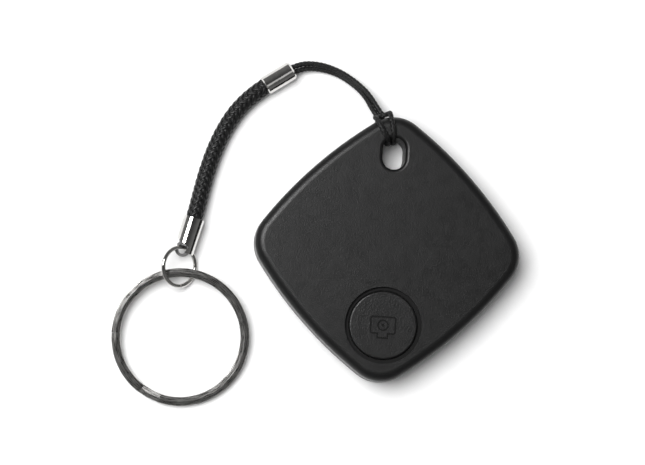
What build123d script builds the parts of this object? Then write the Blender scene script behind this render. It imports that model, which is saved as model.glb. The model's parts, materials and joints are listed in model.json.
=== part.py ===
from build123d import *
from math import cos, radians, sin, sqrt, tan
import os

# A bluetooth tracker tag with its wrist strap and key ring, lying flat.
# Millimetres. Origin: middle of the tag's back face. +Z up through the front face, +Y along the
# tag's diagonal towards the corner with the strap slot, +X to the right of it.

# ---- case ----
across_flats = 40.0  # between opposite sides
side_radius = 77.0  # the sides bow outwards
corner_radius = 6.4
case_height = 8.0
edge_round = 1.7  # front outer edge
back_round = 1.0  # back outer edge
wall = 1.3
roof = 1.0
floor = 1.0
parting_height = 2.5
parting_gap = 0.1
lip_height = 1.5
lip_thickness = 0.8
lip_gap = 0.1
hook_width = 3.6
hook_height = 0.4
hook_depth = 0.3
hook_gap = 0.12
notch_width = 6.0
notch_depth = 0.7
notch_height = 0.5

# ---- slot for the strap ----
slot_width = 4.2
slot_length = 5.8
slot_bar = 3.85  # between the slot and the tip of the corner
slot_boss_wall = 1.3
slot_front_round = 0.65
slot_back_round = 0.45

# ---- button ----
button_y = -13.9
cap_diameter = 12.4
cap_gap = 0.12  # to the hole around it
cap_sink = 0.12  # below the front face
cap_round = 0.35
cap_plate = 0.9
flange_width = 0.65
flange_height = 0.55
flange_wall = 1.4
moat_width = 0.75
moat_depth = 0.6
travel = 0.25
running_gap = 0.05
icon_width = 4.8
icon_height = 3.3
icon_corner = 0.5
icon_line = 0.32
icon_depth = 0.15
icon_hump_width = 2.2
icon_hump_height = 0.8
lens_diameter = 2.1
lens_dot = 0.6

# ---- coin cell ----
cell_diameter = 20.0
cell_height = 3.2
cell_y = 2.0
cell_lift = 0.3  # above the floor, for the foam of a real case
cell_wall = 0.25
cell_crimp = 0.4  # the cap stands this far out of the can
cell_gasket = 0.45
cell_pellet_height = 1.1
cradle_gap = 0.2
cradle_wall = 0.7
cradle_height = 1.4

# ---- circuit board ----
board_thickness = 0.8
board_gap = 0.3  # to the case wall
contact_room = 0.5  # between the cell and the board
seat_gap = 0.02  # where a piece rests on another
board_post_diameter = 2.0
board_posts = [(16.0, 2.0), (-16.0, 2.0), (9.5, -12.0), (-9.5, -12.0)]
sheet_metal = 0.15

# ---- tact switch ----
switch_side = 3.6
switch_base_height = 0.55
switch_base_floor = 0.1
switch_well_diameter = 2.5
switch_lid_thickness = 0.1
plunger_diameter = 1.6
plunger_flange_diameter = 2.2
plunger_flange_height = 0.12
plunger_gap = 0.06

# ---- sounder ----
sounder_y = 3.0
sounder_plate_diameter = 15.0
sounder_plate_thickness = 0.15
sounder_disc_diameter = 11.0
sounder_disc_thickness = 0.15
sounder_contact_width = 1.2

# ---- chips on the board: centre x, y, then size x, y, z ----
bluetooth_chip_place = (-12.6, -3.4)
bluetooth_chip_size = (5.0, 5.0, 0.75)
crystal_place = (-13.6, 6.4)
crystal_size = (3.2, 2.5, 0.6)
antenna_place = (12.6, -3.4)
antenna_size = (2.2, 7.0, 0.8)
capacitor_size = (1.0, 0.5, 0.5)
capacitor_places = [(-8.8, -6.6), (-8.8, -7.8), (-16.8, -0.2), (-15.4, -0.2), (-10.6, 8.2), (-10.6, 9.4)]
resistor_size = (1.0, 0.5, 0.35)
resistor_places = [(8.8, -6.6), (8.8, -7.8), (10.6, 8.2), (10.6, 9.4), (12.2, 8.8)]

# ---- cords, rings and their fittings ----
loop_diameter = 0.9
strap_diameter = 3.0
bore_gap = 0.05  # around the strap in its fittings
ferrule_diameter = 3.5
ferrule_length = 6.0
ferrule_place = (-21.6, 6.09)  # from the tip of the tag's corner, like those below
ferrule_angle = 35.4
ferrule_strap_depth = 2.5
ferrule_loop_depth = 2.0
ferrule_loop_bore = 2.5
ferrule_lip = 0.3
end_cap_place = (-35.2, -20.66)
end_cap_height = 2.08
end_cap_angle = 256.4  # direction from the mouth to the eye
end_cap_diameter = 3.9
end_cap_foot_diameter = 3.7
end_cap_length = 6.6
end_cap_strap_depth = 2.6
end_cap_web = 0.4
end_cap_wall = 0.4
scoop_start = 4.3  # from the mouth, on the left side
scoop_slant = 0.46  # how much further it starts for each step to the right
scoop_width = 2.85
cheek_start = 4.9  # beyond this only the upper part of the right wall is left
cheek_lift = 0.3  # over the cap's axis
eye_reach = 5.7  # mouth to the jump ring's wire
eye_side = 0.3  # to the left of the cap's axis
eye_drop = 0.3  # the eye's middle, beyond the wire
eye_diameter = 2.8
eye_hole_diameter = 1.8
eye_thickness = 0.5
eye_lean = 20.0  # the tab is higher on its right
neck_width = 1.9
jump_ring_radius = 3.55
jump_wire = 0.8
jump_angle = 262.5  # direction from the eye to the ring's centre
jump_lean = 35.0  # one side of the ring stands over the key ring's band, the other under it
jump_lift = 0.02  # above the surface
jump_split = 0.25
key_ring_radius = 11.7  # middle of the band
key_band_width = 1.6
key_coil_height = 0.66
key_coil_gap = 0.08
key_band_ridge = 0.14  # the middle of the band stands higher than its sides
key_band_round = 0.12
key_place = (-36.2, -42.36)
key_join_angle = 231.0
key_step_angle = 19.0
key_end_gap_angle = 2.0
key_lift = 0.03

# ---- heights and places that follow from those ----
front_bottom = parting_height + parting_gap
roof_z = case_height - roof
cell_z = floor + cell_lift
board_z = cell_z + cell_height + contact_room
board_top = board_z + board_thickness
cap_top = case_height - cap_sink
cap_plate_z = cap_top - cap_plate
flange_top = roof_z - running_gap
plunger_top = cap_plate_z - seat_gap
switch_lid_z = board_top + switch_base_height
corner_reach = (side_radius - across_flats / 2) / sqrt(2)
corner_y = sqrt((side_radius - corner_radius) ** 2 - corner_reach**2) - corner_reach
tip_y = corner_y + corner_radius
slot_y = tip_y - slot_bar - slot_length / 2
groove_width = 2 * loop_diameter + 0.6
groove_depth = loop_diameter + 0.27
key_band_height = 2 * key_coil_height + key_coil_gap
jump_z = jump_ring_radius * sin(radians(jump_lean)) + jump_wire / 2 + jump_lift

# ---- routes of the cords ----
# The loop comes out of the ferrule, runs to the tag's corner, down its wall, under the bar, up
# through the slot and over the front to the bight, then the same way back beside it. Places are
# from the corner's tip; those in the slot are from the bar's inner side.
loop_under = loop_diameter / 2 + 0.07
loop_over = case_height + loop_diameter / 2 + 0.07
loop_side = case_height / 2 + 0.2
loop_bight = case_height / 2 + 1.35
loop_out = [
    (-21.07, 7.08, 1.75),
    (-18.47, 8.93, 1.75),
    (-14.8, 9.36, 1.55),
    (-11.1, 8.49, 1.55),
    (-7.84, 6.76, 1.9),
    (-5.15, 4.49, 3.0),
    (-3.3, 1.74, 3.95),
    (-2.19, 0.28, loop_side),
    (-2.19, 0.28, loop_under),
    (0.0, -slot_bar - 0.63, loop_under),
    (-0.1, -slot_bar - 0.65, loop_over),
    (-1.21, 0.55, loop_over + 0.06),
    (-1.3, 0.64, loop_bight + 0.05),
]
loop_back = [
    (-3.79, -0.33, loop_bight),
    (-3.81, -0.46, loop_over + 0.06),
    (-1.02, -slot_bar - 0.89, loop_over),
    (-0.95, -slot_bar - 0.86, loop_under),
    (-3.08, -0.08, loop_under),
    (-3.08, -0.08, loop_side),
    (-4.12, 1.29, 3.8),
    (-5.68, 4.14, 2.3),
    (-8.16, 6.32, 0.98),
    (-11.3, 7.99, 0.66),
    (-14.9, 8.52, 0.98),
    (-18.05, 8.0, 1.75),
    (-20.49, 6.27, 1.75),
]
loop_route = [(x, tip_y + y, z) for x, y, z in loop_out + loop_back]
# Corners that lie on the case's edges are folds; all others are as round as their runs allow.
fold_radius = 0.9
edge_fold_radius = 2.0
loop_folds = {7: fold_radius, 8: fold_radius, 9: fold_radius, 10: fold_radius, 11: edge_fold_radius}
loop_folds[12] = fold_radius
loop_folds |= {len(loop_route) - 1 - corner: radius for corner, radius in loop_folds.items()}

# The strap runs from the ferrule's web to the floor of the end cap's bore.
strap_places = [
    (-22.01, 5.8, 1.75),
    (-25.0, 3.67, 1.75),
    (-28.3, 0.34, 1.56),
    (-30.6, -3.46, 1.54),
    (-32.3, -7.66, 1.54),
    (-33.5, -12.06, 1.56),
    (-34.35, -16.26, 1.78),
    (-35.01, -19.88, 2.08),
    (-35.81, -23.18, 2.08),
]
strap_route = [(x, tip_y + y, z) for x, y, z in strap_places]


def toward(angle):
    """Level unit vector at that angle from +X."""
    return Vector(cos(radians(angle)), sin(radians(angle)), 0)


tip = Vector(0, tip_y, 0)
key_centre = (key_place[0], tip_y + key_place[1])
ferrule_axis = toward(ferrule_angle)
ferrule_middle = Vector(*ferrule_place, ferrule_diameter / 2) + tip
end_cap_axis = toward(end_cap_angle)
end_cap_mouth = Vector(*end_cap_place, end_cap_height) + tip
end_cap_left = end_cap_axis.cross(Vector(0, 0, 1))
eye_wire = end_cap_mouth + end_cap_axis * eye_reach + end_cap_left * eye_side
eye_wire = Vector(eye_wire.X, eye_wire.Y, jump_z)
jump_down = toward(jump_angle)
jump_centre = eye_wire + jump_down * jump_ring_radius
# Along the wire where it passes the eye: to the right, and down by the lean.
jump_across = toward(jump_angle + 90) * cos(radians(jump_lean)) - Vector(0, 0, sin(radians(jump_lean)))


def prism(face, low, high):
    """The face, drawn on the ground, raised from one height to the other."""
    return extrude(Pos(0, 0, low) * face, amount=high - low, dir=(0, 0, 1))


def disc(diameter, low, high, x=0.0, y=0.0):
    """Upright round solid."""
    return Pos(x, y, low) * Cylinder(diameter / 2, high - low, align=(Align.CENTER, Align.CENTER, Align.MIN))


def block(size, place, low):
    """Upright box on a height, with its middle at a place."""
    return Pos(place[0], place[1], low) * Box(*size, align=(Align.CENTER, Align.CENTER, Align.MIN))


def case_outline(inset):
    """Square on its corner, with bowed sides and round corners, moved evenly inwards."""
    bow = side_radius - inset
    span = side_radius - corner_radius
    near = -corner_reach + bow * corner_reach / span
    far = -corner_reach + bow * (corner_y + corner_reach) / span
    side_middle = (across_flats / 2 - inset) / sqrt(2)
    side = ThreePointArc((near, far), (side_middle, side_middle), (far, near))
    corner = ThreePointArc((-near, far), (0, tip_y - inset), (near, far))
    edges = []
    for turn in range(4):
        edges += [edge.rotate(Axis.Z, -90 * turn) for edge in (corner.edge(), side.edge())]
    return Face(Wire(edges))


def slot_outline(margin):
    """Obround along the diagonal, wider than the slot by a margin all round."""
    shape = SlotOverall(slot_length + 2 * margin, slot_width + 2 * margin, rotation=90)
    return Pos(0, slot_y) * shape


def slot_boss(low, high, margin):
    """What stays solid around the slot and out to the corner beyond it."""
    tube = prism(slot_outline(slot_boss_wall + margin), low, high)
    corner = Pos(0, slot_y, low) * Box(
        across_flats, across_flats, high - low, align=(Align.CENTER, Align.MIN, Align.MIN)
    )
    return tube + corner


def round_face(body, top, outer_round, slot_round):
    """Rounds the case's outer edge and the slot's rim on its top or bottom face."""
    pick = -1 if top else 0
    face = body.faces().sort_by(Axis.Z)[pick]
    body = fillet(face.outer_wire().edges(), outer_round)
    face = body.faces().sort_by(Axis.Z)[pick]
    return fillet(face.inner_wires()[0].edges(), slot_round)


def on_sides(radial, width, depth, low, height):
    """One box at the middle of each side of the case."""
    piece = Pos(radial, 0, low) * Box(depth, width, height, align=(Align.CENTER, Align.CENTER, Align.MIN))
    return [Rot(0, 0, 45 + 90 * turn) * piece for turn in range(4)]


def front_cover():
    body = prism(case_outline(0), front_bottom, case_height)
    body -= prism(slot_outline(0), 0, case_height)
    body = round_face(body, True, edge_round, slot_front_round)
    body -= prism(case_outline(wall), 0, roof_z) - slot_boss(0, roof_z, 0)
    hook_z = parting_height + lip_height / 2
    for pocket in on_sides(
        across_flats / 2 - wall,
        hook_width + 2 * hook_gap,
        2 * (hook_depth + hook_gap),
        hook_z - hook_gap,
        hook_height + 2 * hook_gap,
    ):
        body -= pocket
    moat_diameter = cap_diameter + 2 * moat_width
    body -= disc(moat_diameter, case_height - moat_depth, case_height, y=button_y)
    body -= disc(cap_diameter + 2 * cap_gap, roof_z - roof, case_height, y=button_y)
    for x, y in board_posts:
        body += disc(board_post_diameter, board_top + seat_gap, roof_z + seat_gap, x, y)
    return body


def strap_groove():
    """Relief across the back of the bar, where both cords of the loop pass under it."""
    outer = Vector(loop_route[8]) + Vector(loop_route[-9])
    inner = Vector(loop_route[9]) + Vector(loop_route[-10])
    along = (inner - outer) / 2
    middle = (inner + outer) / 4
    turn = Vector(0, 1, 0).get_signed_angle(along, Vector(0, 0, 1))
    shape = Box(groove_width, along.length + slot_width, 2 * groove_depth)
    return Pos(middle.X, middle.Y, 0) * Rot(0, 0, turn) * shape


def back_cover():
    inside = wall + lip_gap + lip_thickness
    body = prism(case_outline(0), 0, parting_height)
    body -= prism(slot_outline(0), 0, parting_height)
    body = round_face(body, False, back_round, slot_back_round)
    body -= prism(case_outline(inside), floor, parting_height) - slot_boss(floor, parting_height, 0)
    lip = prism(case_outline(wall + lip_gap), floor, parting_height + lip_height)
    lip -= prism(case_outline(inside), floor, parting_height + lip_height)
    lip -= slot_boss(floor, parting_height + lip_height, lip_gap)
    body += lip
    hook_z = parting_height + lip_height / 2
    hook_middle = across_flats / 2 - wall - lip_gap
    for hook in on_sides(hook_middle, hook_width, 2 * hook_depth, hook_z, hook_height):
        body += hook
    cradle_inner = cell_diameter + 2 * cradle_gap
    cradle = disc(cradle_inner + 2 * cradle_wall, floor, floor + cradle_height, y=cell_y)
    body += cradle - disc(cradle_inner, floor, floor + cradle_height, y=cell_y)
    for x, y in board_posts:
        body += disc(board_post_diameter, floor, board_z - seat_gap, x, y)
    body -= strap_groove()
    body -= Pos(0, -tip_y, parting_height) * Box(notch_width, 2 * notch_depth, 2 * notch_height)
    return body


def camera_icon():
    """Grooves of a plain camera outline, its viewfinder hump towards -Y, and its round lens."""
    low = cap_top - icon_depth
    outline = RectangleRounded(icon_width, icon_height, icon_corner)
    hump_y = -(icon_height + icon_hump_height) / 2
    hump = Pos(0, hump_y + icon_corner / 2) * Rectangle(icon_hump_width, icon_hump_height + icon_corner)
    outside = outline + hump
    inside = offset(outside, amount=-icon_line, kind=Kind.INTERSECTION)
    lens = Circle(lens_diameter / 2) - Circle(lens_diameter / 2 - icon_line)
    marks = [outside - inside, lens, Circle(lens_dot / 2)]
    return [prism(Pos(0, button_y) * mark, low, cap_top + icon_depth) for mark in marks]


def button_cap():
    """Round key with a skirt that a flange holds under the roof, and a post over the switch."""
    body = disc(cap_diameter, cap_plate_z, cap_top, y=button_y)
    body = fillet(body.edges().group_by(Axis.Z)[-1], cap_round)
    flange_diameter = cap_diameter + 2 * flange_width
    flange = disc(flange_diameter, flange_top - flange_height, flange_top, y=button_y)
    flange += disc(cap_diameter, flange_top - flange_height, cap_plate_z + cap_round, y=button_y)
    flange -= disc(cap_diameter - 2 * flange_wall, 0, cap_plate_z, y=button_y)
    body += flange
    for mark in camera_icon():
        body -= mark
    return body


def switch_base():
    size = (switch_side, switch_side, switch_base_height)
    well = disc(switch_well_diameter, board_top + switch_base_floor, case_height, y=button_y)
    return block(size, (0, button_y), board_top) - well


def switch_lid():
    size = (switch_side, switch_side, switch_lid_thickness)
    hole = disc(plunger_diameter + 2 * plunger_gap, 0, case_height, y=button_y)
    return block(size, (0, button_y), switch_lid_z) - hole


def switch_plunger():
    flange_z = board_top + switch_base_floor + travel + seat_gap
    stem = disc(plunger_diameter, flange_z, plunger_top, y=button_y)
    return stem + disc(plunger_flange_diameter, flange_z, flange_z + plunger_flange_height, y=button_y)


def circuit_board():
    body = prism(case_outline(wall + board_gap), board_z, board_top)
    return body - slot_boss(board_z, board_top, board_gap)


def cell_lathe(points):
    """Round solid about the coin cell's axis, from its half section."""
    section = make_face(Polyline(*[(x, 0, z) for x, z in points], close=True))
    return Pos(0, cell_y, cell_z) * revolve(section, Axis.Z)


def battery_can():
    outer = cell_diameter / 2
    inner = outer - cell_wall
    top = cell_height - cell_crimp
    return cell_lathe([(0, 0), (outer, 0), (outer, top), (inner, top), (inner, cell_wall), (0, cell_wall)])


def battery_gasket():
    outer = cell_diameter / 2 - cell_wall
    inner = outer - cell_gasket
    low = cell_wall
    high = cell_height - cell_crimp
    return cell_lathe([(inner, low), (outer, low), (outer, high), (inner, high)])


def battery_cathode():
    radius = cell_diameter / 2 - cell_wall - cell_gasket
    return cell_lathe([(0, cell_wall), (radius, cell_wall), (radius, cell_pellet_height), (0, cell_pellet_height)])


def battery_cap():
    radius = cell_diameter / 2 - cell_wall - cell_gasket
    shoulder = cell_height - cell_crimp
    crown = radius - 1.0
    return cell_lathe(
        [
            (0, cell_pellet_height),
            (radius, cell_pellet_height),
            (radius, shoulder),
            (crown, cell_height),
            (0, cell_height),
        ]
    )


def strip(points, width, thickness, place):
    """Bent sheet metal: a line in X and Z, thickened downwards and given a width along Y."""
    lower = [(x, z - thickness) for x, z in reversed(points)]
    section = make_face(Polyline(*[(x, 0, z) for x, z in points + lower], close=True))
    return Pos(place[0], place[1], 0) * extrude(section, amount=width / 2, both=True)


def negative_contact():
    """Leaf under the board whose two ends press on the cell's cap."""
    reach = 6.0
    rise = contact_room - sheet_metal
    low = board_z - rise
    points = [(-reach, low), (-reach / 3, board_z), (reach / 3, board_z), (reach, low)]
    return strip(points, 3.0, sheet_metal, (0, cell_y))


def positive_clip():
    """Angle under the board whose upright leg stands against the side of the can."""
    near = cell_diameter / 2 + seat_gap
    far = near + 2.6
    leg_bottom = cell_z + cell_height / 2
    pad_z = board_z - sheet_metal
    points = [
        (near, leg_bottom),
        (near + sheet_metal, leg_bottom),
        (near + sheet_metal, pad_z),
        (far, pad_z),
        (far, board_z),
        (near, board_z),
    ]
    section = make_face(Polyline(*[(x, 0, z) for x, z in points], close=True))
    return Pos(0, cell_y, 0) * extrude(section, amount=2.0, both=True)


def sounder_plate():
    return disc(sounder_plate_diameter, roof_z - sounder_plate_thickness, roof_z, y=sounder_y)


def sounder_disc():
    top = roof_z - sounder_plate_thickness
    return disc(sounder_disc_diameter, top - sounder_disc_thickness, top, y=sounder_y)


def sounder_contacts():
    """Two bent springs from the board, to the sounder's plate and to its disc."""
    found = []
    plate_z = roof_z - sounder_plate_thickness
    disc_z = plate_z - sounder_disc_thickness
    for x, top in ((sounder_plate_diameter / 2 - 1.7, plate_z), (2.4, disc_z)):
        foot = board_top + sheet_metal
        points = [(x - 1.6, foot), (x - 0.6, foot), (x, top), (x + 0.7, top)]
        found.append(strip(points, sounder_contact_width, sheet_metal, (0, sounder_y)))
    return Compound(children=found)


def chips(size, places):
    """Identical flat components on the board."""
    return Compound(children=[block(size, place, board_top) for place in places])


def chip(size, place):
    return block(size, place, board_top)


def arc_radii(points, folds):
    """Each corner's radius: 0.45 of the shorter run over the tangent of half the turn."""
    radii = []
    for corner in range(1, len(points) - 1):
        before = Vector(points[corner]) - Vector(points[corner - 1])
        after = Vector(points[corner + 1]) - Vector(points[corner])
        shorter = min(before.length, after.length)
        widest = 0.45 * shorter / tan(radians(before.get_angle(after) / 2))
        radii.append(min(widest, folds.get(corner, widest)))
    return radii


def cord(name, points, diameter, folds):
    """Round tube along straight runs joined by tangent arcs."""
    radii = arc_radii(points, folds)
    path = FilletPolyline(*points, radius=radii)
    start = Plane(origin=path @ 0, z_dir=path % 0)
    tube = sweep(start * Circle(diameter / 2), path=path)
    expected = path.length * 3.14159265 * diameter**2 / 4
    print(name, "length", round(path.length, 2), "volume over section times length", round(tube.volume / expected, 4))
    print(name, "arc radii", [round(radius, 2) for radius in radii])
    return tube


def loop_cord():
    return cord("loop_cord", loop_route, loop_diameter, loop_folds)


def braided_strap():
    return cord("braided_strap", strap_route, strap_diameter, {})


def along(origin, axis, start, length, radius, end_radius=None):
    """Round solid on an axis, from start along it: a cylinder, or a cone with another radius at its end."""
    place = Plane(origin=origin + axis * start, z_dir=axis)
    upright = (Align.CENTER, Align.CENTER, Align.MIN)
    if end_radius is None:
        return place * Cylinder(radius, length, align=upright)
    return place * Cone(radius, end_radius, length, align=upright)


def ferrule():
    """Tube with a web inside: the strap ends on one side of it and the loop on the other."""
    half = ferrule_length / 2
    outer = ferrule_diameter / 2
    body = along(ferrule_middle, ferrule_axis, -half, ferrule_length, outer)
    body = chamfer(body.edges().filter_by(GeomType.CIRCLE), ferrule_lip)
    strap_bore = strap_diameter / 2 + bore_gap
    loop_bore = ferrule_loop_bore / 2
    body -= along(ferrule_middle, ferrule_axis, -half, ferrule_strap_depth, strap_bore)
    loop_start = half - ferrule_loop_depth
    return body - along(ferrule_middle, ferrule_axis, loop_start, ferrule_loop_depth, loop_bore)


def end_cap_shell():
    """Tapered tube with a web inside; its far end is scooped out from the left and from below."""
    bore = strap_diameter / 2 + bore_gap
    top = end_cap_diameter / 2
    foot = end_cap_foot_diameter / 2
    body = along(end_cap_mouth, end_cap_axis, 0, end_cap_length, top, foot)
    body -= along(end_cap_mouth, end_cap_axis, 0, end_cap_strap_depth, bore)
    hollow_start = end_cap_strap_depth + end_cap_web
    body -= along(end_cap_mouth, end_cap_axis, hollow_start, end_cap_length, foot - end_cap_wall)
    right = -end_cap_left
    scoop_corner = end_cap_mouth + end_cap_axis * scoop_start + end_cap_left * top
    scoop = Plane(origin=scoop_corner, x_dir=right + end_cap_axis * scoop_slant, z_dir=(0, 0, 1))
    body -= scoop * Box(scoop_width, end_cap_length, 2 * end_cap_diameter, align=(Align.MIN, Align.MAX, Align.CENTER))
    cheek_corner = end_cap_mouth + end_cap_axis * cheek_start + Vector(0, 0, cheek_lift)
    under = Plane(origin=cheek_corner, x_dir=right, z_dir=(0, 0, 1))
    return body - under * Box(
        2 * end_cap_diameter, end_cap_length, end_cap_diameter, align=(Align.CENTER, Align.MAX, Align.MAX)
    )


def strap_end_cap():
    """Cap on the strap's end: a shell and, inside it, a tab that ends in the eye."""
    normal = end_cap_left * sin(radians(eye_lean)) + Vector(0, 0, cos(radians(eye_lean)))
    plane = Plane(origin=eye_wire + end_cap_axis * eye_drop, x_dir=end_cap_axis, z_dir=normal)
    neck_length = eye_reach + eye_drop - end_cap_strap_depth - end_cap_web / 2
    tab = Cylinder(eye_diameter / 2, eye_thickness)
    tab += Pos(-neck_length / 2, 0, 0) * Box(neck_length, neck_width, eye_thickness)
    hole = plane * Cylinder(eye_hole_diameter / 2, 3 * eye_thickness)
    return end_cap_shell() + plane * tab - hole


def jump_ring():
    """Round wire, bent to a ring that nearly closes inside the key ring."""
    normal = jump_down.cross(jump_across)
    plane = Plane(origin=jump_centre, x_dir=-jump_down, z_dir=normal)
    split = jump_split / jump_ring_radius
    start = 180 + 18
    turn = 360 - split * 180 / 3.14159265
    arc = CenterArc((0, 0), jump_ring_radius, start, turn)
    section = Plane(origin=arc @ 0, z_dir=arc % 0) * Circle(jump_wire / 2)
    return plane * sweep(section, path=arc)


def key_plane():
    """The key ring's own plane: it leans from its link in the jump ring down to the surface."""
    link = Vector(jump_centre.X, jump_centre.Y, 0) - Vector(*key_centre, 0)
    heading = link.normalized()
    low = key_band_height / 2 + key_lift
    rise = (jump_z - low) / 2
    level = sqrt(key_ring_radius**2 - rise**2)
    up = (heading * level + Vector(0, 0, rise)).normalized()
    across = heading.cross(Vector(0, 0, 1))
    return Plane(origin=(*key_centre, low + rise), x_dir=across, z_dir=across.cross(up)), up


def band_section(angle, height):
    """Flat wire's section, square to the ring at an angle, with its middle at a height."""
    half = key_band_width / 2
    crest = key_coil_height / 2
    side = crest - key_band_ridge
    outline = Polygon(
        (half, -side), (half, side), (0, crest), (-half, side), (-half, -side), (0, -crest), align=None
    )
    corners = [vertex for vertex in outline.vertices() if abs(vertex.X) > half / 2]
    radial = toward(angle)
    place = Plane(origin=radial * key_ring_radius + Vector(0, 0, height), x_dir=radial, z_dir=toward(angle + 90))
    return place * fillet(corners, key_band_round)


def coil(start, turn, height):
    section = band_section(start, height)
    return revolve(section, Axis.Z, revolution_arc=turn)


def key_ring():
    """Two turns of flat wire: a lower and an upper coil, joined by a step beside their ends."""
    plane, up = key_plane()
    level = (key_coil_height + key_coil_gap) / 2
    turn = 360 - key_step_angle - key_end_gap_angle
    step_start = key_join_angle
    step_end = step_start + key_step_angle
    heights = (-level, 0, level)
    sections = [
        band_section(step_start + key_step_angle * share / 2, height).face() for share, height in enumerate(heights)
    ]
    body = coil(step_end + key_end_gap_angle, turn, -level)
    body += loft(sections, ruled=True)
    body += coil(step_end, turn, level)
    return plane * body


def write(name, shape):
    export_step(shape, f"parts/{name}.step")


def main():
    os.makedirs("parts", exist_ok=True)
    nodes = {
        "front_cover": front_cover(),
        "back_cover": back_cover(),
        "button_cap": button_cap(),
        "switch_base": switch_base(),
        "switch_lid": switch_lid(),
        "switch_plunger": switch_plunger(),
        "circuit_board": circuit_board(),
        "battery_can": battery_can(),
        "battery_gasket": battery_gasket(),
        "battery_cathode": battery_cathode(),
        "battery_cap": battery_cap(),
        "negative_contact": negative_contact(),
        "positive_clip": positive_clip(),
        "sounder_plate": sounder_plate(),
        "sounder_disc": sounder_disc(),
        "sounder_contacts": sounder_contacts(),
        "bluetooth_chip": chip(bluetooth_chip_size, bluetooth_chip_place),
        "crystal": chip(crystal_size, crystal_place),
        "chip_antenna": chip(antenna_size, antenna_place),
        "capacitors": chips(capacitor_size, capacitor_places),
        "resistors": chips(resistor_size, resistor_places),
        "loop_cord": loop_cord(),
        "ferrule": ferrule(),
        "braided_strap": braided_strap(),
        "strap_end_cap": strap_end_cap(),
        "jump_ring": jump_ring(),
        "key_ring": key_ring(),
    }
    for name, shape in nodes.items():
        write(name, shape)
    plane, up = key_plane()
    print("slot centre", round(slot_y, 3), "tip", round(tip_y, 3), "board top", round(board_top, 3))
    print("eye", tuple(eye_wire), "along the wire", tuple(jump_across))
    print("link", tuple(plane.origin + up * key_ring_radius), "across", tuple(plane.x_dir))
    print("key ring centre", tuple(plane.origin))


main()
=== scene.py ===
import json
import math

import bpy
import numpy as np
from mathutils import Matrix, Vector


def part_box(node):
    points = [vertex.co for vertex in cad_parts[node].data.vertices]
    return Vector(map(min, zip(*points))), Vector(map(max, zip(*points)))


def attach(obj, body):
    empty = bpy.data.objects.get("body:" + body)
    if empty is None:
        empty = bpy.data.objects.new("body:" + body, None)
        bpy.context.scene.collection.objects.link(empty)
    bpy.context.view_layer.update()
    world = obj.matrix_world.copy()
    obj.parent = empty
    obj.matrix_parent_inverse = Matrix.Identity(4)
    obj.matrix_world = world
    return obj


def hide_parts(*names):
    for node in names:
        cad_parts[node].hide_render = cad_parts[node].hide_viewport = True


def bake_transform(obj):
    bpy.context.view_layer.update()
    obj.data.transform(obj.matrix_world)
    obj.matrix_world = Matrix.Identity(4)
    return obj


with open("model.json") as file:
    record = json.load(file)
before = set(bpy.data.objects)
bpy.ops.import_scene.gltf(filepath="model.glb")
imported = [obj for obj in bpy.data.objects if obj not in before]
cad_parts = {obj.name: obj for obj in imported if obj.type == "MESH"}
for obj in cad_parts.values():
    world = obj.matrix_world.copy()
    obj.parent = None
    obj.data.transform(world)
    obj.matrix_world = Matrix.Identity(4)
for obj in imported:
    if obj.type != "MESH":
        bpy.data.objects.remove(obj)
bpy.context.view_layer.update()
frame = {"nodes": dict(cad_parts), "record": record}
scene = bpy.context.scene
nodes = frame["nodes"]

# ---- the picture's directions on the table ----
ROLL = math.radians(4.1)
PICTURE_RIGHT = Vector((math.cos(ROLL), math.sin(ROLL), 0))
PICTURE_UP = Vector((-math.sin(ROLL), math.cos(ROLL), 0))

# ---- where things are, in millimetres as in the model ----
MM = 0.001
tag_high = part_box("front_cover")[1]
TIP_Y = tag_high.y / MM
TAG_TOP = tag_high.z / MM
SLOT_BAR = 3.85
LOOP_DIAMETER = 0.9
STRAP_DIAMETER = 3.0
LOOP_GAP = 0.07

# Heights of the loop cord's middle: under, over and beside the slot's bar, and in the hitch's bight.
LOOP_UNDER = LOOP_DIAMETER / 2 + LOOP_GAP
LOOP_OVER = TAG_TOP + LOOP_DIAMETER / 2 + LOOP_GAP
LOOP_SIDE = TAG_TOP / 2 + 0.2
LOOP_BIGHT = TAG_TOP / 2 + 1.35

# The cords' routes are those of the model's tubes: x, y from the tip of the tag's corner, and z.
LOOP_ROUTE = [
    (-21.07, 7.08, 1.75),
    (-18.47, 8.93, 1.75),
    (-14.8, 9.36, 1.55),
    (-11.1, 8.49, 1.55),
    (-7.84, 6.76, 1.9),
    (-5.15, 4.49, 3.0),
    (-3.3, 1.74, 3.95),
    (-2.19, 0.28, LOOP_SIDE),
    (-2.19, 0.28, LOOP_UNDER),
    (0.0, -SLOT_BAR - 0.63, LOOP_UNDER),
    (-0.1, -SLOT_BAR - 0.65, LOOP_OVER),
    (-1.21, 0.55, LOOP_OVER + 0.06),
    (-1.3, 0.64, LOOP_BIGHT + 0.05),
    (-3.79, -0.33, LOOP_BIGHT),
    (-3.81, -0.46, LOOP_OVER + 0.06),
    (-1.02, -SLOT_BAR - 0.89, LOOP_OVER),
    (-0.95, -SLOT_BAR - 0.86, LOOP_UNDER),
    (-3.08, -0.08, LOOP_UNDER),
    (-3.08, -0.08, LOOP_SIDE),
    (-4.12, 1.29, 3.8),
    (-5.68, 4.14, 2.3),
    (-8.16, 6.32, 0.98),
    (-11.3, 7.99, 0.66),
    (-14.9, 8.52, 0.98),
    (-18.05, 8.0, 1.75),
    (-20.49, 6.27, 1.75),
]
STRAP_ROUTE = [
    (-22.01, 5.8, 1.75),
    (-25.0, 3.67, 1.75),
    (-28.3, 0.34, 1.56),
    (-30.6, -3.46, 1.54),
    (-32.3, -7.66, 1.54),
    (-33.5, -12.06, 1.56),
    (-34.35, -16.26, 1.78),
    (-35.01, -19.88, 2.08),
    (-35.81, -23.18, 2.08),
]


# ---- small helpers ----
def link(name, data):
    piece = bpy.data.objects.new(name, data)
    scene.collection.objects.link(piece)
    return piece


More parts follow.
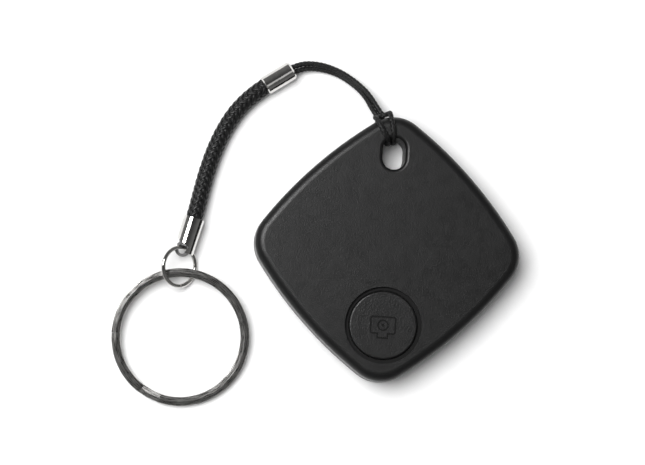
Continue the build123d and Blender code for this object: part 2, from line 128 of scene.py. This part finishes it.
def in_metres(x, y, z):
    """Place of a route's point."""
    return (x * MM, (TIP_Y + y) * MM, z * MM)


# ---- camera: lean in radians, film in millimetres, the rest in metres ----
CAMERA_LEAN = math.radians(5.6)
LENS = 180.0
SENSOR = 36.0
VIEW_WIDTH = 0.1164
VIEW_LEFT = 0.0119
VIEW_UP = 0.0029
CLIP_START = 0.01


def add_camera():
    """Nearly straight above, a long lens, leaning a little to the lower left of the picture."""
    target = Vector((0, 0, TAG_TOP * MM)) - PICTURE_RIGHT * VIEW_LEFT + PICTURE_UP * VIEW_UP
    lower_left = -(PICTURE_RIGHT + PICTURE_UP).normalized()
    back = Vector((0, 0, math.cos(CAMERA_LEAN))) + lower_left * math.sin(CAMERA_LEAN)
    side = (PICTURE_RIGHT - back * PICTURE_RIGHT.dot(back)).normalized()
    turn = Matrix((side, back.cross(side), back)).transposed().to_4x4()
    data = bpy.data.cameras.new("camera")
    data.lens = LENS
    data.sensor_width = SENSOR
    data.clip_start = CLIP_START
    camera = link("camera", data)
    camera.matrix_world = Matrix.Translation(target + back * VIEW_WIDTH * LENS / SENSOR) @ turn
    scene.camera = camera


add_camera()


# ---- cords ----
ROUTE_STEPS = 24
CORE_SIDES = 20
STRAND_SIDES = 10

# A strand's middle in shares of its thickness: its mean height, its rise and fall, how abrupt they are.
STRAND_MIDDLE = 0.45
STRAND_RISE = 0.35
STRAND_SNAP = 1.6


def nurbs_line(route):
    """Points of the smooth spline whose control points are the route's, in metres."""
    data = bpy.data.curves.new("route", "CURVE")
    data.dimensions = "3D"
    data.resolution_u = ROUTE_STEPS
    spline = data.splines.new("NURBS")
    spline.points.add(len(route) - 1)
    for point, place in zip(spline.points, route):
        point.co = (*in_metres(*place), 1)
    spline.order_u = 3
    spline.use_endpoint_u = True
    piece = link("route", data)
    bpy.context.view_layer.update()
    evaluated = piece.evaluated_get(bpy.context.evaluated_depsgraph_get())
    mesh = bpy.data.meshes.new_from_object(evaluated)
    line = np.array([v.co for v in mesh.vertices], float)
    bpy.data.objects.remove(piece)
    bpy.data.meshes.remove(mesh)
    return line


def resample(line, step):
    """The line again, with points evenly spaced along it."""
    lengths = np.r_[0, np.cumsum(np.linalg.norm(np.diff(line, axis=0), axis=1))]
    count = max(2, int(round(lengths[-1] / step)) + 1)
    at = np.linspace(0, lengths[-1], count)
    return np.column_stack([np.interp(at, lengths, line[:, axis]) for axis in range(3)]), at


def frames_along(line):
    """Normal and binormal at each point, turning as little as possible."""
    tangent = np.gradient(line, axis=0)
    tangent /= np.linalg.norm(tangent, axis=1)[:, None]
    normal = np.zeros_like(tangent)
    start = np.cross(tangent[0], (0, 0, 1))
    normal[0] = start / np.linalg.norm(start)
    for index in range(1, len(line)):
        carried = normal[index - 1] - tangent[index] * normal[index - 1].dot(tangent[index])
        normal[index] = carried / np.linalg.norm(carried)
    return normal, np.cross(tangent, normal)


def mesh_piece(name, vertices, faces):
    mesh = bpy.data.meshes.new(name)
    mesh.from_pydata([tuple(v) for v in vertices], [], [tuple(f) for f in faces])
    mesh.validate()
    mesh.update()
    mesh.shade_smooth()
    return link(name, mesh)


def tube_rings(centres, normal, binormal, radius_n, radius_b, sides):
    """Vertices and faces of a closed tube with an oval section."""
    count = len(centres)
    around = np.arange(sides) * 2 * math.pi / sides
    ring = (
        normal[:, None, :] * (np.cos(around) * radius_n)[None, :, None]
        + binormal[:, None, :] * (np.sin(around) * radius_b)[None, :, None]
    )
    vertices = (centres[:, None, :] + ring).reshape(-1, 3)
    faces = []
    for row in range(count - 1):
        near = row * sides
        far = near + sides
        for side in range(sides):
            after = (side + 1) % sides
            faces.append((near + side, near + after, far + after, far + side))
    faces.append(tuple(reversed(range(sides))))
    faces.append(tuple(range((count - 1) * sides, count * sides)))
    return vertices, faces


def braid(name, line, diameter, pairs, lay, step, thick, width):
    """Round braid on a core: each strand winds about the line and passes over two strands of the
    other way, then under two, which shows as rows of chevrons. pairs strands go each way."""
    points, at = resample(line, step)
    normal, binormal = frames_along(points)
    reach = diameter / 2 - thick
    parts = [tube_rings(points, normal, binormal, reach, reach, CORE_SIDES)]
    crossing = 2 * pairs * at / lay
    for way, phase in ((1, 0.5), (-1, 2.5)):
        for strand in range(pairs):
            angle = way * 2 * math.pi * at / lay + 2 * math.pi * strand / pairs
            over = np.cos(math.pi / 2 * (2 * strand + way * crossing - phase))
            rise = thick * (STRAND_MIDDLE + STRAND_RISE * np.tanh(STRAND_SNAP * over))
            out = normal * np.cos(angle)[:, None] + binormal * np.sin(angle)[:, None]
            centres = points + out * (reach + rise)[:, None]
            heading = np.gradient(centres, axis=0)
            side = np.cross(heading, out)
            side /= np.linalg.norm(side, axis=1)[:, None]
            parts.append(tube_rings(centres, out, side, thick * STRAND_MIDDLE, width / 2, STRAND_SIDES))
    vertices, faces = [], []
    for part_vertices, part_faces in parts:
        first = sum(len(block) for block in vertices)
        vertices.append(part_vertices)
        faces += [tuple(index + first for index in face) for face in part_faces]
    return mesh_piece(name, np.concatenate(vertices), faces), points


def make_cords():
    """The doubled loop and the thick braided strap, each with the points it follows."""
    loop = braid(
        "loop_braid",
        nurbs_line(LOOP_ROUTE),
        LOOP_DIAMETER * MM,
        pairs=4,
        lay=3.0 * MM,
        step=0.1 * MM,
        thick=0.16 * MM,
        width=0.34 * MM,
    )
    strap = braid(
        "strap_braid",
        nurbs_line(STRAP_ROUTE),
        STRAP_DIAMETER * MM,
        pairs=8,
        lay=9.5 * MM,
        step=0.16 * MM,
        thick=0.26 * MM,
        width=0.62 * MM,
    )
    return loop, strap


(loop, loop_points), (strap, strap_points) = make_cords()


# ---- materials ----
# Where painted shade goes, in millimetres, with the surface made rough there too: the groove round the
# button, the symbol's lines, the cap's hollow.
MOAT_RADIUS = 6.95
ICON_RADIUS = 3.4
CAP_HOLLOW = 1.55
GROOVE_EDGE = 0.02
HOLLOW_EDGE = 0.05

# Tones of the painted shade in the grooves and in the cap's hollow, and the roughness there.
GROOVE_SHADE_TONE = 0.002
HOLLOW_SHADE_TONE = 0.3
DULL_ROUGHNESS = 0.8
PLASTIC_TONE = 0.006
SCRATCH_SCALE = 6000.0
SCRATCHES_PER_RADIAN = 5.0
NICKEL = (0.74, 0.73, 0.71)


def box_middle(node):
    low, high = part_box(node)
    return tuple((a + b) / 2 for a, b in zip(low, high))


def neutral(tone):
    return (tone, tone, tone)


def grey(tone):
    """A grey that is a trace blue."""
    return (tone, tone, tone * 1.01)


def scaled(color, factor):
    return tuple(min(1, channel * factor) for channel in color)


class Shader:
    """A node material built from its Principled shader outwards."""

    def __init__(self, name, color, roughness, metallic=0.0):
        self.material = bpy.data.materials.new(name)
        self.material.use_nodes = True
        self.tree = self.material.node_tree
        self.surface = self.tree.nodes["Principled BSDF"]
        self.set("Base Color", (*color, 1))
        self.set("Roughness", roughness)
        self.set("Metallic", metallic)
        self.place = self.node("ShaderNodeTexCoord").outputs["Object"]

    def set(self, socket, value):
        self.surface.inputs[socket].default_value = value

    def node(self, kind, operation=None):
        made = self.tree.nodes.new(kind)
        if operation:
            made.operation = operation
        return made

    def join(self, output, target):
        self.tree.links.new(output, target)

    def vector_math(self, operation, vector, other=None):
        """The vector joined with another by the operation, or the vector's length."""
        made = self.node("ShaderNodeVectorMath", operation)
        self.join(vector, made.inputs[0])
        if other is not None:
            made.inputs[1].default_value = other
        return made.outputs["Value" if operation == "LENGTH" else "Vector"]

    def number_math(self, operation, first, second):
        """The first output joined by the operation with a second output, or with a plain number."""
        made = self.node("ShaderNodeMath", operation)
        self.join(first, made.inputs[0])
        if isinstance(second, float):
            made.inputs[1].default_value = second
        else:
            self.join(second, made.inputs[1])
        return made.outputs["Value"]

    def split(self, vector):
        made = self.node("ShaderNodeSeparateXYZ")
        self.join(vector, made.inputs["Vector"])
        return made.outputs

    def level_reach(self, offset):
        """Length of the offset over the table, whatever its height."""
        return self.vector_math("LENGTH", self.vector_math("MULTIPLY", offset, (1, 1, 0)))

    def noise(self, scale, detail, place=None):
        made = self.node("ShaderNodeTexNoise")
        made.inputs["Scale"].default_value = scale
        made.inputs["Detail"].default_value = detail
        self.join(self.place if place is None else place, made.inputs["Vector"])
        return made.outputs["Fac"]

    def spread(self, source, low, high, start=0.3, end=0.7):
        """The source's range from start to end, mapped to low to high."""
        made = self.node("ShaderNodeMapRange")
        made.inputs["From Min"].default_value = start
        made.inputs["From Max"].default_value = end
        made.inputs["To Min"].default_value = low
        made.inputs["To Max"].default_value = high
        self.join(source, made.inputs["Value"])
        return made.outputs["Result"]

    def roughness_from(self, source, low, high):
        self.join(self.spread(source, low, high), self.surface.inputs["Roughness"])

    def color_from(self, source, dark, light, start=0.3, end=0.7):
        made = self.node("ShaderNodeValToRGB")
        stops = made.color_ramp.elements
        for stop, color, position in zip(stops, (dark, light), (start, end)):
            stop.color = (*color, 1)
            stop.position = position
        self.join(source, made.inputs["Fac"])
        self.join(made.outputs["Color"], self.surface.inputs["Base Color"])

    def bump(self, source, depth):
        made = self.node("ShaderNodeBump")
        made.inputs["Strength"].default_value = 1.0
        made.inputs["Distance"].default_value = depth
        self.join(source, made.inputs["Height"])
        self.join(made.outputs["Normal"], self.surface.inputs["Normal"])

    def mix_into(self, socket, factor, tone):
        """Blend what already feeds the socket towards a tone."""
        mix = self.node("ShaderNodeMixRGB")
        mix.inputs["Color2"].default_value = (*neutral(tone), 1)
        self.join(factor, mix.inputs["Fac"])
        target = self.surface.inputs[socket]
        self.join(target.links[0].from_socket, mix.inputs["Color1"])
        self.join(mix.outputs["Color"], target)

    def paint_shade_and_roughen(self, where, tone):
        """Paint shade where the mask is 1: a dark tone, and a rough surface."""
        self.mix_into("Base Color", where, tone)
        self.mix_into("Roughness", where, DULL_ROUGHNESS)

    def paint_groove_shade(self, radius, low, high):
        """Painted shade, and roughness, within the radius of the button's axis from the height high down,
        in mm.
        """
        x, y, _ = box_middle("button_cap")
        offset = self.vector_math("SUBTRACT", self.place, (x, y, 0))
        reach = self.level_reach(offset)
        near = self.spread(reach, 1, 0, radius * MM, (radius + GROOVE_EDGE) * MM)
        below = self.spread(self.split(self.place)["Z"], 1, 0, low * MM, high * MM)
        self.paint_shade_and_roughen(self.number_math("MULTIPLY", near, below), GROOVE_SHADE_TONE)


def moulded_plastic(name, grain, depth):
    """Spark-eroded grain with faint changes of tone and sheen."""
    shader = Shader(name, grey(PLASTIC_TONE), 0.32)
    shader.set("Specular IOR Level", 0.25)
    shader.color_from(shader.noise(110.0, 3.0), grey(PLASTIC_TONE * 0.9), grey(PLASTIC_TONE * 1.1))
    shader.roughness_from(shader.noise(700.0, 2.0), 0.34, 0.42)
    shader.bump(shader.noise(grain, 3.0), depth)
    return shader


def case_plastic(name):
    """The case's plastic, with painted shade, dark and rough, in the groove around the button."""
    shader = moulded_plastic(name, grain=5200.0, depth=0.00003)
    shader.paint_groove_shade(MOAT_RADIUS, low=TAG_TOP - 0.35, high=TAG_TOP - 0.05)
    return shader.material


def button_plastic(name):
    """The button's plastic, with a coarser grain than the case's and painted shade in its symbol's
    engraved lines.
    """
    shader = moulded_plastic(name, grain=3600.0, depth=0.00005)
    button_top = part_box("button_cap")[1].z / MM
    shader.paint_groove_shade(ICON_RADIUS, low=button_top - 0.08, high=button_top - 0.02)
    return shader.material


def braid_fibre(name, tone):
    """Twisted filament along each strand: fine streaks and glints."""
    shader = Shader(name, grey(tone), 0.4)
    shader.set("Specular IOR Level", 0.4)
    fine = shader.noise(7000.0, 3.0)
    shader.color_from(fine, grey(tone * 0.5), grey(tone * 1.8))
    shader.roughness_from(shader.noise(3000.0, 2.0), 0.26, 0.5)
    shader.bump(fine, 0.00004)
    return shader.material


def polished(name, color):
    """Bright plate with faint pits and cloudy patches."""
    shader = Shader(name, color, 0.1, metallic=1.0)
    shader.color_from(shader.noise(450.0, 3.0), scaled(color, 0.8), color)
    shader.roughness_from(shader.noise(900.0, 3.0), 0.06, 0.16)
    shader.bump(shader.noise(1500.0, 2.0), 0.000012)
    return shader


def cap_nickel(name, color):
    """Bright plate outside; inside the cap's hollow the casting and its eye get painted shade, dark and
    rough.
    """
    shader = polished(name, color)
    mouth, inner = (Vector(in_metres(*place)) for place in STRAP_ROUTE[-2:])
    offset = shader.vector_math("SUBTRACT", shader.place, mouth)
    across = shader.vector_math("CROSS_PRODUCT", offset, (inner - mouth).normalized())
    reach = shader.vector_math("LENGTH", across)
    hollow = shader.spread(reach, 1, 0, CAP_HOLLOW * MM, (CAP_HOLLOW + HOLLOW_EDGE) * MM)
    # Painted shade in the hollow: a dark tone and a rough surface.
    shader.paint_shade_and_roughen(hollow, HOLLOW_SHADE_TONE)
    return shader.material


def ring_brushed(name, color, centre):
    """Flat wire rubbed along its length: fine scratches that run round the ring's centre."""
    shader = Shader(name, color, 0.3, metallic=1.0)
    offset = shader.vector_math("SUBTRACT", shader.place, centre)
    reach = shader.level_reach(offset)
    sides = shader.split(offset)
    turn = shader.number_math("ARCTAN2", sides["Y"], sides["X"])
    ring = shader.node("ShaderNodeCombineXYZ")
    shader.join(shader.number_math("MULTIPLY", reach, SCRATCH_SCALE), ring.inputs["X"])
    shader.join(shader.number_math("MULTIPLY", turn, SCRATCHES_PER_RADIAN), ring.inputs["Y"])
    worn = shader.noise(1.0, 3.0, ring.outputs["Vector"])
    shader.color_from(worn, scaled(color, 0.55), color, 0.35, 0.65)
    shader.roughness_from(worn, 0.2, 0.42)
    shader.bump(worn, 0.00002)
    return shader.material


def plain_detail(name, color, roughness, scale):
    """Inner pieces: mottled tone and a light texture."""
    shader = Shader(name, color, roughness)
    spots = shader.noise(scale, 3.0)
    shader.color_from(spots, scaled(color, 0.8), scaled(color, 1.15))
    shader.bump(spots, 0.00002)
    return shader.material


PLATES = {
    "spring_steel": (0.66, 0.65, 0.62),
    "cell_steel": (0.7, 0.7, 0.68),
    "sounder_brass": (0.75, 0.56, 0.25),
    "polished_nickel": NICKEL,
}
BRAIDS = {"cord_black": 0.009, "braid_black": 0.007}

# Colour, roughness and the scale of the mottling.
DETAILS = {
    "switch_plastic": (grey(0.05), 0.5, 800.0),
    "plunger_white": ((0.8, 0.8, 0.76), 0.45, 800.0),
    "board_green": ((0.02, 0.16, 0.07), 0.35, 800.0),
    "gasket_white": ((0.75, 0.75, 0.72), 0.5, 800.0),
    "cathode_grey": (grey(0.09), 0.8, 800.0),
    "sounder_ceramic": ((0.82, 0.8, 0.74), 0.4, 800.0),
    "chip_black": (grey(0.03), 0.5, 3000.0),
    "antenna_white": ((0.85, 0.85, 0.8), 0.4, 800.0),
    "capacitor_tan": ((0.5, 0.36, 0.22), 0.4, 2500.0),
}


def make_materials():
    """One material for each slot of the record."""
    made = {"case_black": case_plastic("case_black"), "button_black": button_plastic("button_black")}
    for slot, color in PLATES.items():
        made[slot] = polished(slot, color).material
    for slot, tone in BRAIDS.items():
        made[slot] = braid_fibre(slot, tone)
    for slot, finish in DETAILS.items():
        made[slot] = plain_detail(slot, *finish)
    made["satin_nickel"] = ring_brushed("satin_nickel", (0.7, 0.69, 0.67), box_middle("key_ring"))
    return made


MATERIALS = make_materials()


def dress(piece, slot):
    piece.data.materials.clear()
    piece.data.materials.append(MATERIALS[slot])


for entry in frame["record"]["subparts"]:
    dress(nodes[entry["node"]], entry["material_slot"])
nodes["strap_end_cap"].material_slots[0].material = cap_nickel("end_cap_nickel", NICKEL)

# ---- cords take their finishes; the model's cords are hidden, and the strap rides on its body ----
dress(strap, "braid_black")
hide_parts("braided_strap")
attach(strap, "strap")
dress(loop, "cord_black")
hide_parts("loop_cord")
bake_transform(loop)


# ---- floor and light, in metres and watts ----
FLOOR_HALF = 1.5
SHEEN_DISTANCE = 0.45

# How bright the studio is at heights from the horizon, 0, to overhead, 1.
WALL_TONES = ((0.0, 0.22), (0.8, 0.11), (1.0, 0.05))


def add_floor():
    mesh = bpy.data.meshes.new("floor")
    corners = [(x * FLOOR_HALF, y * FLOOR_HALF, 0) for x, y in ((-1, -1), (1, -1), (1, 1), (-1, 1))]
    mesh.from_pydata(corners, [], [(0, 1, 2, 3)])
    floor = link("floor", mesh)
    shader = Shader("floor_paper", neutral(0.86), 0.8)
    shader.color_from(shader.noise(400.0, 2.0), neutral(0.85), neutral(0.87))
    mesh.materials.append(shader.material)


def add_world():
    """Studio walls: dark overhead, brighter towards the horizon."""
    world = bpy.data.worlds.new("studio")
    scene.world = world
    world.use_nodes = True
    tree = world.node_tree
    place = tree.nodes.new("ShaderNodeTexCoord")
    split = tree.nodes.new("ShaderNodeSeparateXYZ")
    ramp = tree.nodes.new("ShaderNodeValToRGB")
    tree.links.new(place.outputs["Generated"], split.inputs["Vector"])
    tree.links.new(split.outputs["Z"], ramp.inputs["Fac"])
    tree.links.new(ramp.outputs["Color"], tree.nodes["Background"].inputs["Color"])
    stops = ramp.color_ramp.elements
    stops.new(WALL_TONES[1][0])
    for stop, (height, tone) in zip(stops, WALL_TONES):
        stop.position = height
        stop.color = (*neutral(tone), 1)


def add_lamp(name, side, lean, distance, radius, power):
    """Round lamp that leans from overhead, at an angle above the picture's left side, in degrees."""
    data = bpy.data.lights.new(name, "AREA")
    data.shape = "DISK"
    data.size = 2 * radius
    data.energy = power
    lamp = link(name, data)
    side = math.radians(side)
    lean = math.radians(lean)
    level = -PICTURE_RIGHT * math.cos(side) + PICTURE_UP * math.sin(side)
    toward = level * math.sin(lean) + Vector((0, 0, math.cos(lean)))
    lamp.location = toward * distance
    lamp.rotation_euler = (-toward).to_track_quat("-Z", "Y").to_euler()
    return lamp


def add_soft_lamp(name, **place):
    """Lamp that lights everything but shows in no reflection."""
    lamp = add_lamp(name, **place)
    lamp.visible_glossy = False


def add_sheen(name, pieces, side, lean, radius, power):
    """Lamp that reaches these pieces only, and only as a reflection."""
    lamp = add_lamp(name, side, lean, SHEEN_DISTANCE, radius, power)
    lamp.visible_diffuse = False
    receivers = bpy.data.collections.new(name + "_receivers")
    for piece in pieces:
        receivers.objects.link(piece)
    lamp.light_linking.receiver_collection = receivers


def add_lights():
    """The main lamp throws the soft shadow and the wide one fills; the rest give each finish its sheen."""
    case = [nodes[name] for name in ("front_cover", "back_cover", "button_cap")]
    fittings = [nodes[name] for name in ("ferrule", "strap_end_cap", "jump_ring")]
    add_soft_lamp("main", side=26, lean=24, distance=0.8, radius=0.3, power=9.2)
    add_soft_lamp("fill", side=0, lean=0, distance=1.0, radius=0.7, power=1.8)
    add_sheen("case_sheen", case, side=32, lean=29, radius=0.1, power=3.0)
    add_sheen("fitting_sheen", fittings + [loop, strap], side=18, lean=33, radius=0.1, power=1.3)
    add_sheen("ring_sheen", [nodes["key_ring"]], side=34, lean=43, radius=0.07, power=1.15)
    add_sheen("ferrule_sheen", [nodes["ferrule"]], side=60, lean=-12, radius=0.1, power=0.06)


add_floor()
add_world()
add_lights()
scene.view_settings.view_transform = "Standard"
